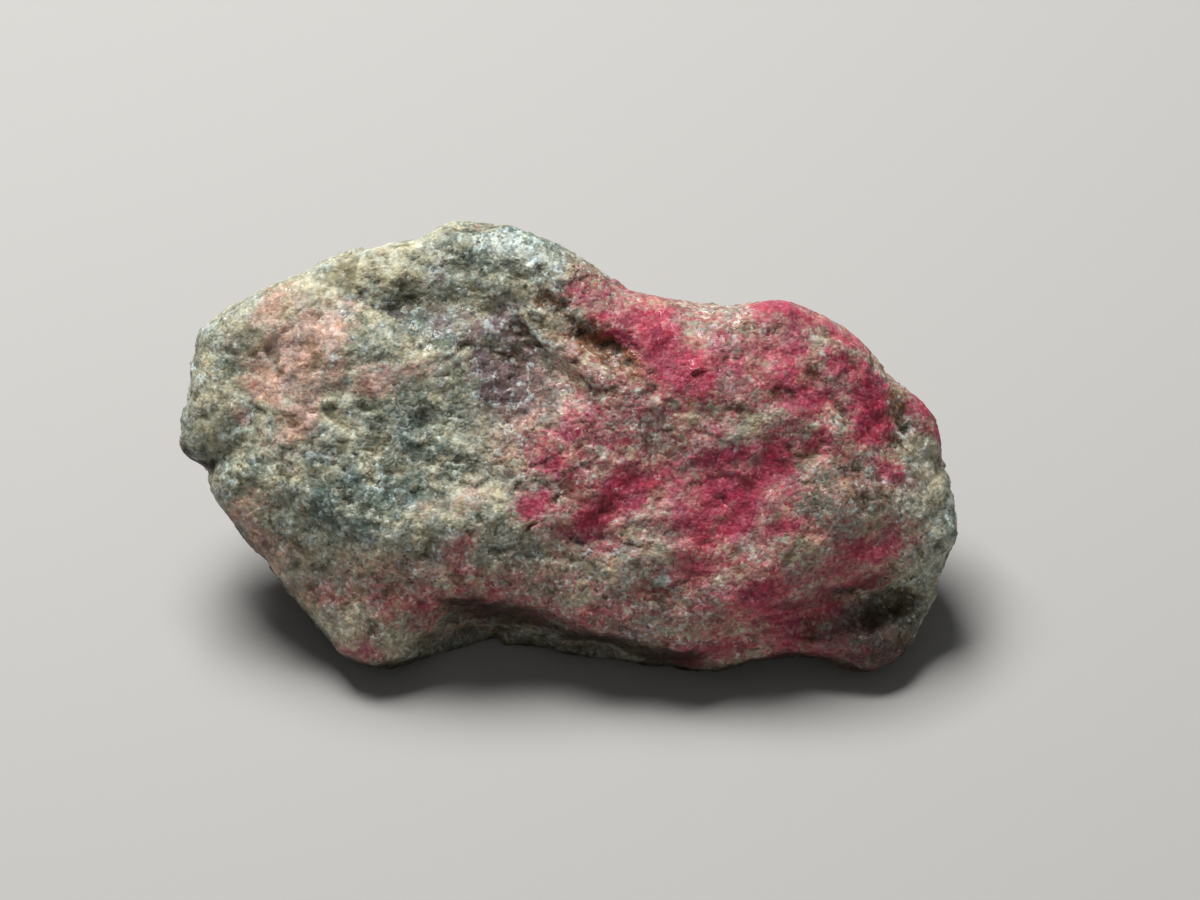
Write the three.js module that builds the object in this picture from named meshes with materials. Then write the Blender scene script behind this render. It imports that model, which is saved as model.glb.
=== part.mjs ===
// Rough tugtupite: one broken piece of rock, crimson tugtupite grown together with pale matrix.
// Millimetres, +Z up. The stone lies on a flat break, and its broad face leans back towards +Y.
// The origin is on the ground, under the middle of the stone.
import * as THREE from 'three';
import { ImprovedNoise } from 'three/addons/math/ImprovedNoise.js';
import { mergeVertices } from 'three/addons/utils/BufferGeometryUtils.js';

// Driving dimensions.
const FACE_SWELL = 2.8; // how far the middle of the broad face stands out from the rim
const BACK_DEPTH = 7.8; // how far the back reaches behind the rim
const FACE_LEAN = 45; // degrees that the broad face leans back from upright
const GROUND_DROP = 6.9; // from the middle of the rim down to the ground
const FACE_ROUNDING = 2.7; // power of the face's section: 2 is an ellipse, more is flatter with a tighter edge
const BACK_ROUNDING = 2.3;
const RIM_ASPECT = 0.58; // height of the rim over its length
const RIM_STEPS = 720; // points that the rim is measured at
const EDGE_SPLITS = 29; // each edge of the starting octahedron is cut into one more piece than this

const WEATHERING = 1; // rounds of evening out, which take the sharpness off the breaks
const WEATHER_SHARE = 0.5; // how far each round moves a point towards its neighbours

// Unevenness of broken rock: the size of its lumps and how far they stand in or out.
const LUMPS = { size: 5.5, depth: 0.4 };
const CHIPS = { size: 2.8, depth: 0.42 }; // sharp-edged, as where small pieces have broken away

// The rim of the broad face, seen square on: u to the right and v up, from its middle, anticlockwise.
const RIM = [
  [14.9, 0.0], [14.9, 0.8], [14.2, 1.95], [12.6, 3.2], [11.5, 4.5], [9.8, 5.45], [8.8, 6.05], [8.0, 6.0],
  [7.3, 5.65], [6.4, 5.6], [3.6, 6.1], [2.1, 6.35], [0.8, 7.25], [-0.5, 7.95], [-2.2, 8.75], [-3.8, 9.35],
  [-4.9, 9.4], [-5.5, 8.8], [-6.6, 8.75], [-8.8, 8.15], [-10.8, 7.2], [-13.0, 6.05], [-14.5, 5.2],
  [-15.2, 4.1], [-15.5, 2.3], [-15.7, 0.4], [-15.3, -0.25], [-14.55, -0.75], [-14.4, -1.4], [-13.9, -2.5],
  [-12.8, -4.0], [-11.2, -5.9], [-9.6, -7.65], [-8.9, -8.4], [-8.1, -8.7], [-7.0, -8.5], [-5.0, -8.3],
  [-3.2, -8.0], [-0.7, -8.15], [1.5, -8.35], [3.6, -8.6], [5.2, -9.05], [6.9, -8.75], [8.9, -8.4],
  [10.3, -8.6], [11.6, -9.3], [12.6, -9.05], [13.6, -8.4], [14.4, -7.1], [15.0, -5.4],
  [15.3, -4.4], [15.65, -2.8], [15.5, -1.8],
];

// Swells and hollows of the broad face: where, half-size along and across, turn in degrees, and rise.
const SWELLS = [
  { name: 'cream upper rim', at: [-7.4, 7.2], reach: [4.2, 1.3], turn: 20, rise: 0.3 },
  { name: 'grey top lump', at: [-2.6, 7.4], reach: [2.5, 1.6], turn: -15, rise: 0.6 },
  { name: 'salmon swell', at: [-11.0, 4.8], reach: [2.6, 2.0], turn: 0, rise: 0.5 },
  { name: 'left lobe', at: [-14.2, 2.6], reach: [1.3, 2.6], turn: 0, rise: 0.5 },
  { name: 'groove beside the left lobe', at: [-12.9, 2.8], reach: [0.6, 2.2], turn: 5, rise: -0.3 },
  { name: 'left notch', at: [-14.4, -0.4], reach: [1.6, 0.5], turn: 18, rise: -1.1 },
  { name: 'speckled plateau', at: [-8.8, -2.4], reach: [3.0, 2.0], turn: 0, rise: 0.45 },
  { name: 'grey-green hollow', at: [-6.6, 0.5], reach: [2.6, 1.2], turn: 15, rise: -0.3 },
  { name: 'pale shoulder', at: [-4.0, -2.6], reach: [2.6, 1.0], turn: 12, rise: 0.6 },
  { name: 'mauve recess', at: [-2.0, 2.6], reach: [1.8, 1.6], turn: -40, rise: -0.6 },
  { name: 'stained pit', at: [1.2, 4.2], reach: [1.0, 0.5], turn: -20, rise: -0.9 },
  { name: 'upper red swell', at: [6.0, 2.6], reach: [4.5, 2.4], turn: -8, rise: 0.35 },
  { name: 'saddle of the rim', at: [5.4, 5.6], reach: [2.0, 0.9], turn: -8, rise: -0.5 },
  { name: 'red knob on the rim', at: [8.5, 5.7], reach: [1.1, 0.8], turn: -10, rise: 0.6 },
  { name: 'left red groove', at: [2.0, -2.2], reach: [2.6, 0.6], turn: 40, rise: -0.2 },
  { name: 'middle rib', at: [4.0, -3.4], reach: [2.8, 0.6], turn: 38, rise: 0.4 },
  { name: 'long red groove', at: [6.9, -2.0], reach: [3.2, 0.7], turn: 55, rise: -0.35 },
  { name: 'right shoulder', at: [11.2, -2.0], reach: [2.6, 1.0], turn: 12, rise: 0.3 },
  { name: 'lower rib', at: [8.0, -5.4], reach: [3.4, 1.1], turn: 36, rise: 0.8 },
  { name: 'tongue', at: [11.8, -4.8], reach: [2.2, 0.8], turn: 12, rise: 0.8 },
  { name: 'right hollow', at: [13.0, -6.1], reach: [1.8, 0.7], turn: 14, rise: -0.6 },
  { name: 'right foot', at: [12.4, -7.8], reach: [1.9, 1.3], turn: 0, rise: 0.5 },
  { name: 'crease inside the right foot', at: [10.2, -7.7], reach: [0.5, 0.9], turn: -30, rise: -0.5 },
  { name: 'crimson knob', at: [-5.8, -6.5], reach: [0.8, 0.6], turn: 30, rise: 0.6 },
  { name: 'left foot', at: [-8.0, -7.6], reach: [1.4, 1.4], turn: 0, rise: 0.5 },
  { name: 'undercut between the feet', at: [-2.4, -8.0], reach: [3.6, 1.2], turn: -4, rise: -0.9 },
];

// Ledges: the face steps down on the right of the line from one point to the other, then levels out again.
const LEDGES = [
  { name: 'under the upper rim', from: [-7.6, 6.3], to: [-0.6, 5.9], fall: 0.3, fade: 3.0 },
  { name: 'beside the mauve recess', from: [-2.2, 5.5], to: [0.7, 2.5], fall: 0.55, fade: 2.2 },
  { name: 'under the tongue', from: [9.8, -5.9], to: [15.2, -4.4], fall: 1.25, fade: 1.3 },
  { name: 'beside the left foot', from: [-7.0, -8.6], to: [-4.4, -6.0], fall: 1.2, fade: 12 },
  { name: 'over the undercut', from: [-4.2, -5.9], to: [4.6, -8.2], fall: 1.7, fade: 12 },
  { name: 'right crest', from: [14.4, -2.4], to: [11.8, 4.4], fall: 0.9, fade: 3.0 },
];
const LEDGE_WIDTH = 0.6; // a ledge drops over this distance
const LEDGE_END = 1.2; // and dies out over this distance past its ends

// A nick in the rim: where, how wide, and how far it is pushed in across the face.
const NICKS = [{ name: 'beside the right foot', at: [10.3, -8.7], reach: 0.8, push: [-0.1, 0.7] }];

// Flat breaks: the direction that each faces, as [u, v, out of the face], and its distance from the middle.
const BREAKS = [
  { name: 'lower left slope', facing: [-0.4, -0.5, 0.77], at: 6.8 },
  { name: 'upper slope', facing: [-0.12, 0.55, 0.83], at: 5.2 },
  { name: 'right slope', facing: [0.62, 0.15, 0.77], at: 8.6 },
  { name: 'lower right slope', facing: [0.35, -0.55, 0.76], at: 7.1 },
  { name: 'salmon slope', facing: [-0.55, 0.25, 0.8], at: 8.2 },
  { name: 'back wall', facing: [0.1, 0.55, -0.83], at: 6.4 },
  { name: 'upper back', facing: [-0.2, 0.86, -0.47], at: 7.4 },
  { name: 'back chip', facing: [0.42, 0.75, -0.51], at: 7.6 },
  { name: 'left cheek', facing: [-0.72, 0.2, -0.66], at: 10.2 },
  { name: 'right cheek', facing: [0.78, 0.12, -0.6], at: 10.6 },
  { name: 'lower left', facing: [-0.45, -0.5, -0.74], at: 8.2 },
  { name: 'lower right', facing: [0.4, -0.45, -0.8], at: 8.0 },
];

const noise = new ImprovedNoise();
const rim = new THREE.CatmullRomCurve3(
  RIM.map(([u, v]) => new THREE.Vector3(u, v / RIM_ASPECT, 0)),
  true,
  'centripetal',
).getSpacedPoints(RIM_STEPS);
const rimTurns = rim.map((point) => (Math.atan2(point.y, point.x) + 2 * Math.PI) % (2 * Math.PI));

// How far the rim is from the middle for a turn in radians, with the face drawn as long as it is tall.
function rimReach(turn) {
  const next = rimTurns.findIndex((rimTurn) => rimTurn > turn);
  const [a, b] = next > 0 ? [next - 1, next] : [RIM_STEPS - 1, 0];
  const share = THREE.MathUtils.clamp((turn - rimTurns[a]) / (rimTurns[b] - rimTurns[a]), 0, 1);
  return THREE.MathUtils.lerp(rim[a].length(), rim[b].length(), share);
}

// How far one swell or hollow lifts the face at u, v.
function swellAt(u, v, { at, reach, turn, rise }) {
  const offset = new THREE.Vector2(u - at[0], v - at[1]);
  offset.rotateAround(new THREE.Vector2(), -THREE.MathUtils.degToRad(turn));
  return rise * Math.exp(-((offset.x / reach[0]) ** 2) - (offset.y / reach[1]) ** 2);
}

// How far one ledge lowers the face at u, v.
function ledgeAt(u, v, { from, to, fall, fade }) {
  const line = new THREE.Vector2(to[0] - from[0], to[1] - from[1]);
  const offset = new THREE.Vector2(u - from[0], v - from[1]);
  const length = line.length();
  const along = offset.dot(line) / length;
  const right = -line.cross(offset) / length;
  const past = Math.max(0, -along, along - length);
  const step = THREE.MathUtils.smoothstep(right, -LEDGE_WIDTH / 2, LEDGE_WIDTH / 2);
  return -fall * step * Math.exp(-Math.max(0, right) / fade - (past / LEDGE_END) ** 2);
}

function reliefAt(u, v) {
  const swells = SWELLS.reduce((sum, swell) => sum + swellAt(u, v, swell), 0);
  return LEDGES.reduce((sum, ledge) => sum + ledgeAt(u, v, ledge), swells);
}

// A point of the stone for a direction from its middle: the broad face is towards z.
function stonePoint(direction) {
  const turn = (Math.atan2(direction.y, direction.x) + 2 * Math.PI) % (2 * Math.PI);
  const out = Math.sqrt(1 - Math.min(1, Math.abs(direction.z))); // 0 in the middle, 1 at the rim, even in area
  const reach = out * rimReach(turn);
  const point = new THREE.Vector3(reach * Math.cos(turn), reach * Math.sin(turn) * RIM_ASPECT, 0);
  const onFace = direction.z >= 0;
  const power = onFace ? FACE_ROUNDING : BACK_ROUNDING;
  point.z = (onFace ? FACE_SWELL : -BACK_DEPTH) * (1 - out ** power) ** (1 / power);
  const free = 1 - out ** 6; // the breaks leave the rim where it is
  for (const { facing, at } of BREAKS) {
    const normal = new THREE.Vector3(...facing).normalize();
    const proud = Math.max(0, point.dot(normal) - at);
    point.addScaledVector(normal, -proud * free);
  }
  point.z += reliefAt(point.x, point.y) * (onFace ? 1 : out ** 4);
  for (const { at, reach, push } of NICKS) {
    const far = Math.hypot(point.x - at[0], point.y - at[1]) / reach;
    point.add(new THREE.Vector3(...push, 0).multiplyScalar(Math.exp(-(far ** 2))));
  }
  return point;
}

// Moves every vertex with a function of its position and, where there are normals, its normal.
function reshape(geometry, move) {
  const position = geometry.getAttribute('position');
  const normals = geometry.getAttribute('normal');
  const point = new THREE.Vector3();
  const normal = new THREE.Vector3();
  for (let i = 0; i < position.count; i += 1) {
    point.fromBufferAttribute(position, i);
    if (normals) normal.fromBufferAttribute(normals, i);
    const moved = move(point, normal);
    position.setXYZ(i, moved.x, moved.y, moved.z);
  }
}

// Evens the surface out: each round moves every point towards the middle of its neighbours.
function weather(geometry) {
  const position = geometry.getAttribute('position');
  const index = geometry.getIndex();
  const neighbours = Array.from({ length: position.count }, () => new Set());
  for (let i = 0; i < index.count; i += 3) {
    const corners = [0, 1, 2].map((corner) => index.getX(i + corner));
    corners.forEach((corner) => corners.forEach((other) => neighbours[corner].add(other)));
  }
  for (let round = 0; round < WEATHERING; round += 1) {
    const before = position.clone();
    const middle = new THREE.Vector3();
    const other = new THREE.Vector3();
    neighbours.forEach((near, i) => {
      middle.set(0, 0, 0);
      near.forEach((j) => middle.addScaledVector(other.fromBufferAttribute(before, j), 1 / near.size));
      other.fromBufferAttribute(before, i).lerp(middle, WEATHER_SHARE);
      position.setXYZ(i, other.x, other.y, other.z);
    });
  }
}

function noiseAt(point, size) {
  return noise.noise(point.x / size, point.y / size, point.z / size);
}

function roughen(point, normal) {
  const lump = LUMPS.depth * noiseAt(point, LUMPS.size);
  const chip = CHIPS.depth * (0.4 - Math.abs(noiseAt(point, CHIPS.size)));
  return point.addScaledVector(normal, lump + chip);
}

function restOnGround(point) {
  point.z = Math.max(point.z, -GROUND_DROP);
  return point;
}

function stoneGeometry() {
  const ball = new THREE.OctahedronGeometry(1, EDGE_SPLITS);
  ball.deleteAttribute('normal');
  ball.deleteAttribute('uv');
  const geometry = mergeVertices(ball);
  reshape(geometry, (direction) => stonePoint(direction.normalize()));
  weather(geometry);
  geometry.computeVertexNormals();
  reshape(geometry, roughen);
  geometry.deleteAttribute('normal');
  geometry.rotateX(THREE.MathUtils.degToRad(90 - FACE_LEAN));
  reshape(geometry, restOnGround);
  geometry.computeBoundingBox();
  const middle = geometry.boundingBox.getCenter(new THREE.Vector3());
  geometry.translate(-middle.x, -middle.y, GROUND_DROP);
  geometry.computeVertexNormals();
  return geometry;
}

const stone = new THREE.Mesh(
  stoneGeometry(),
  new THREE.MeshStandardMaterial({ color: 0xa9807a, roughness: 0.75, metalness: 0 }),
);
stone.name = 'rough_stone';

const specimen = new THREE.Group();
specimen.add(stone);

export default specimen;
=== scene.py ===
# %% [markdown]
# # A rough piece of tugtupite
# The stone is one broken lump, about 31 mm long. Crimson tugtupite has grown through a pale, sugary
# matrix, with dark specks, rusty pits and a mauve-grey band. This lesson takes the plain solid of the
# stone, refines its skin until it shows grain, marks where each mineral lies, and paints the minerals
# with shader nodes. No picture is used: every patch of the face is listed one by one, in millimetres.

# %% Load the frame
import math

import bmesh
import bpy
import numpy as np
from mathutils import Matrix, Vector, noise


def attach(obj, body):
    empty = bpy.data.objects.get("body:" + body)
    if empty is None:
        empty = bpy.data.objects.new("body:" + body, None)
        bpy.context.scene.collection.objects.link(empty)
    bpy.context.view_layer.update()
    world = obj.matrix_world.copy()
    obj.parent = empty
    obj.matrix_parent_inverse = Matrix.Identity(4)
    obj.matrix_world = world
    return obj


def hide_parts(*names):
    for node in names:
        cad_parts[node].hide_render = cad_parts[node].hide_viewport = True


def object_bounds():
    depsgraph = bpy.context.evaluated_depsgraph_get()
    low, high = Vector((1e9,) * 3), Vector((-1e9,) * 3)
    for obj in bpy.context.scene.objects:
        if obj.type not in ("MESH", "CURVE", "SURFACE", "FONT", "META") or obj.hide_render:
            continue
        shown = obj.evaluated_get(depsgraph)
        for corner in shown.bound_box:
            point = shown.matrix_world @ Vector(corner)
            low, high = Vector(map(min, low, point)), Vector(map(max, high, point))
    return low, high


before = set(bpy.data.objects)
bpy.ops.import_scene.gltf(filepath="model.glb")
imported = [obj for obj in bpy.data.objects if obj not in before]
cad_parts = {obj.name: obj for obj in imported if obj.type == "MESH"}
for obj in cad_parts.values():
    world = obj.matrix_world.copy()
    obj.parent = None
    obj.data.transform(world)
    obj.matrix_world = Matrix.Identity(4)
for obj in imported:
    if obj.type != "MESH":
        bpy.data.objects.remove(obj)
cad_low, cad_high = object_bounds()
MM = 0.001
print("stone in mm:", [round((high - low) / MM, 2) for low, high in zip(cad_low, cad_high)])

# %% [markdown]
# ## The broad face and the camera
# Everything on the stone is easiest to place on its broad face, which leans back by 45 degrees. The face
# has its own coordinates: u to the right, v up the slope and w straight out of it. One matrix turns them
# into the frame's X, Y and Z. The camera looks straight down w, and one aimed by eye would never be quite
# square to the face, so the same matrix also aims the camera.

# %% Face coordinates and camera
FACE_LEAN = math.radians(45)
FACE_MIDDLE = Vector((0.054, -0.207, 6.9)) * MM  # the middle of the face's rim
face_to_frame = Matrix.Translation(FACE_MIDDLE) @ Matrix.Rotation(math.pi / 2 - FACE_LEAN, 4, "X")
frame_to_face = face_to_frame.inverted()

LENS = 180  # mm, long enough to keep the stone free of perspective
VIEW_WIDTH = 48 * MM  # what the picture spans at the face
VIEW_MIDDLE = Vector((1.2, 0, 0)) * MM  # where the middle of the picture is on the face

camera_data = bpy.data.cameras.new("camera")
camera_data.lens = LENS
camera_data.clip_start = 10 * MM
camera_data.clip_end = 10
camera = bpy.data.objects.new("camera", camera_data)
camera_distance = VIEW_WIDTH * LENS / camera_data.sensor_width
camera.matrix_world = face_to_frame @ Matrix.Translation(VIEW_MIDDLE + Vector((0, 0, camera_distance)))
bpy.context.scene.collection.objects.link(camera)
bpy.context.scene.camera = camera
print("camera is", round(camera_distance / MM), "mm from the face")

# %% [markdown]
# ## Floor and light
# A plain pale floor and soft light leave the stone alone to be looked at. The main light is a large panel
# above, a little behind and to the left of the stone, so that the upper edge is brightest and every bump of
# the leaning face throws a short shadow down to the right. A light from the camera would flatten the bumps.
# A weak panel in front and a dim room keep the underside from going black.

# %% Node helpers
def add_node(tree, kind, inputs=None, **settings):
    """Adds a node, sets its options, and sets or links each named input."""
    made = tree.nodes.new(kind)
    for name, value in settings.items():
        setattr(made, name, value)
    for name, value in (inputs or {}).items():
        if isinstance(value, bpy.types.NodeSocket):
            tree.links.new(value, made.inputs[name])
        else:
            made.inputs[name].default_value = value
    return made


def shade(red, green, blue):
    """A colour seen on screen, 0 to 255, as the linear colour that shaders use."""
    def linear(value):
        value /= 255
        return value / 12.92 if value <= 0.04045 else ((value + 0.055) / 1.055) ** 2.4
    return (linear(red), linear(green), linear(blue), 1.0)


# %% Floor
FLOOR_SIZE = 3.0  # m
FLOOR_COLOUR = shade(192, 190, 186)
FLOOR_ROUGHNESS = 0.9

floor_shape = bmesh.new()
bmesh.ops.create_grid(floor_shape, x_segments=1, y_segments=1, size=FLOOR_SIZE / 2)
floor_mesh = bpy.data.meshes.new("floor")
floor_shape.to_mesh(floor_mesh)
floor_shape.free()
floor = bpy.data.objects.new("floor", floor_mesh)
bpy.context.scene.collection.objects.link(floor)
floor_paper = bpy.data.materials.new("pale_paper")
floor_paper.use_nodes = True
floor_shader = floor_paper.node_tree.nodes["Principled BSDF"]
floor_shader.inputs["Base Color"].default_value = FLOOR_COLOUR
floor_shader.inputs["Roughness"].default_value = FLOOR_ROUGHNESS
floor_mesh.materials.append(floor_paper)
print("floor is", FLOOR_SIZE, "m wide")


# %% Lights
ROOM_COLOUR = (0.95, 0.97, 1.0, 1.0)
ROOM_STRENGTH = 0.08


def soft_light(name, place, size, power):
    """A square panel of light at a place in mm, aimed at the stone."""
    panel = bpy.data.lights.new(name, "AREA")
    panel.size = size * MM
    panel.energy = power
    light = bpy.data.objects.new(name, panel)
    light.location = Vector(place) * MM
    light.rotation_mode = "QUATERNION"
    light.rotation_quaternion = (FACE_MIDDLE - light.location).to_track_quat("-Z", "Y")
    light.visible_camera = False
    bpy.context.scene.collection.objects.link(light)
    print(name, "light gives", power, "W")


soft_light("overhead", place=(-50, 92, 218), size=120, power=0.74)
soft_light("front", place=(120, -260, 140), size=220, power=0.03)

room = bpy.data.worlds.new("room")
room.use_nodes = True
room_shader = room.node_tree.nodes["Background"]
room_shader.inputs["Color"].default_value = ROOM_COLOUR
room_shader.inputs["Strength"].default_value = ROOM_STRENGTH
bpy.context.scene.world = room
bpy.context.scene.view_settings.view_transform = "Standard"

# %% [markdown]
# ## The skin of the stone
# The solid has the lumps and ledges but its triangles are over half a millimetre wide, far too coarse for
# a sugary surface. The skin could be sculpted by hand, but a copy of the solid keeps every lump in its
# place. The copy is merged into one skin. While it is still coarse it gets its UV map: one seam behind the
# rim parts the stone into a front and a back, and each opens into one big island.

# %% Merge and unwrap the coarse skin
SEAM_DEPTH = -1.5 * MM  # the seam runs round the stone this far behind the rim
ISLAND_GAP = 0.01
MERGE_DISTANCE = 0.001 * MM

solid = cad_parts["rough_stone"]
skin = bmesh.new()
skin.from_mesh(solid.data)
bmesh.ops.remove_doubles(skin, verts=skin.verts, dist=MERGE_DISTANCE)
skin.edges.ensure_lookup_table()
for edge in skin.edges:
    sides = {(frame_to_face @ face.calc_center_median()).z > SEAM_DEPTH for face in edge.link_faces}
    edge.seam = len(sides) == 2
for face in skin.faces:
    face.smooth = True
for layer in list(skin.loops.layers.uv.values()):
    skin.loops.layers.uv.remove(layer)

stone_mesh = bpy.data.meshes.new("tugtupite_stone")
skin.to_mesh(stone_mesh)
skin.free()
stone_mesh.materials.clear()
stone_mesh.uv_layers.new(name="OFBake")
stone = bpy.data.objects.new("tugtupite_stone", stone_mesh)
bpy.context.scene.collection.objects.link(stone)
bpy.context.view_layer.objects.active = stone
stone.select_set(True)
bpy.ops.object.mode_set(mode="EDIT")
bpy.ops.mesh.select_all(action="SELECT")
bpy.ops.uv.unwrap(method="CONFORMAL", margin=ISLAND_GAP)
bpy.ops.object.mode_set(mode="OBJECT")
print("coarse skin:", len(stone_mesh.vertices), "points,", len(stone_mesh.polygons), "triangles")

# %% [markdown]
# ## A finer skin
# Broken rock has no straight facets half a millimetre wide. Every triangle is cut into 25, and a few rounds
# of smoothing hide the old corners. A Subdivision Surface modifier would do much the same, but cuts in the
# mesh leave real points, which the next steps read and move one by one.

# %% Refine and smooth
SKIN_CUTS = 4  # each edge is cut into one more piece than this
SMOOTH_ROUNDS = 8
SMOOTH_SHARE = 0.5  # how far a point moves towards the middle of its neighbours in a round

skin = bmesh.new()
skin.from_mesh(stone_mesh)
bmesh.ops.subdivide_edges(skin, edges=skin.edges, cuts=SKIN_CUTS, use_grid_fill=True)
for _ in range(SMOOTH_ROUNDS):
    bmesh.ops.smooth_vert(
        skin, verts=skin.verts, factor=SMOOTH_SHARE, use_axis_x=True, use_axis_y=True, use_axis_z=True
    )
skin.to_mesh(stone_mesh)
skin.free()
print("fine skin:", len(stone_mesh.vertices), "points,", len(stone_mesh.polygons), "triangles")

# %% [markdown]
# ## Where each mineral lies
# The minerals aren't paint: they are patches of crystal with ragged edges. A picture wrapped round the
# stone would smear at its sides, so each patch is listed instead. Noise bends the coordinates
# before the patches are read, which makes the edges wander as crystal edges do. The patches of the face end
# a little way behind its rim.

# %% Points of the skin on the face
EDGE_WANDER = [(1.6, 0.45), (0.6, 0.22)]  # size and reach of the bends in a patch's edge, mm
BACK_STARTS = (-0.8, -3.2)  # w where the face's patches begin to end, and where they have ended, mm

count = len(stone_mesh.vertices)
flat = np.empty(count * 3)
stone_mesh.vertices.foreach_get("co", flat)
places = [Vector(place) / MM for place in flat.reshape(-1, 3)]
into_face = frame_to_face.to_3x3()
middle = FACE_MIDDLE / MM
on_face = np.array([into_face @ (place - middle) for place in places])


def noise_at(size, shift=0.0):
    """Smooth noise from -1 to 1 at every point, with lumps of a size in mm."""
    offset = Vector((shift, 2 * shift, -shift))
    return np.array([noise.noise(place / size + offset) for place in places])


def ramp(values, low, high):
    """0 at low, 1 at high, and an easy curve between."""
    share = np.clip((values - low) / (high - low), 0, 1)
    return share * share * (3 - 2 * share)


def bends_at(shift):
    """How far the coordinates are bent at every point, in mm."""
    return sum(reach * noise_at(size, shift + number) for number, (size, reach) in enumerate(EDGE_WANDER))


bend_u = bends_at(shift=11.3)
bend_v = bends_at(shift=37.9)
in_front = ramp(on_face[:, 2], BACK_STARTS[1], BACK_STARTS[0])
print("points in front of the back:", int((in_front > 0.5).sum()), "of", count)

# %% [markdown]
# ## The tugtupite
# Tugtupite fills most of one end. Broad weak patches make it rose, and small strong ones on top of them make
# the crimson spots, most of which run up to the right. Each line below is a patch: u and v of its middle,
# its half-length and half-width in mm, its turn in degrees and its strength.

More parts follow.
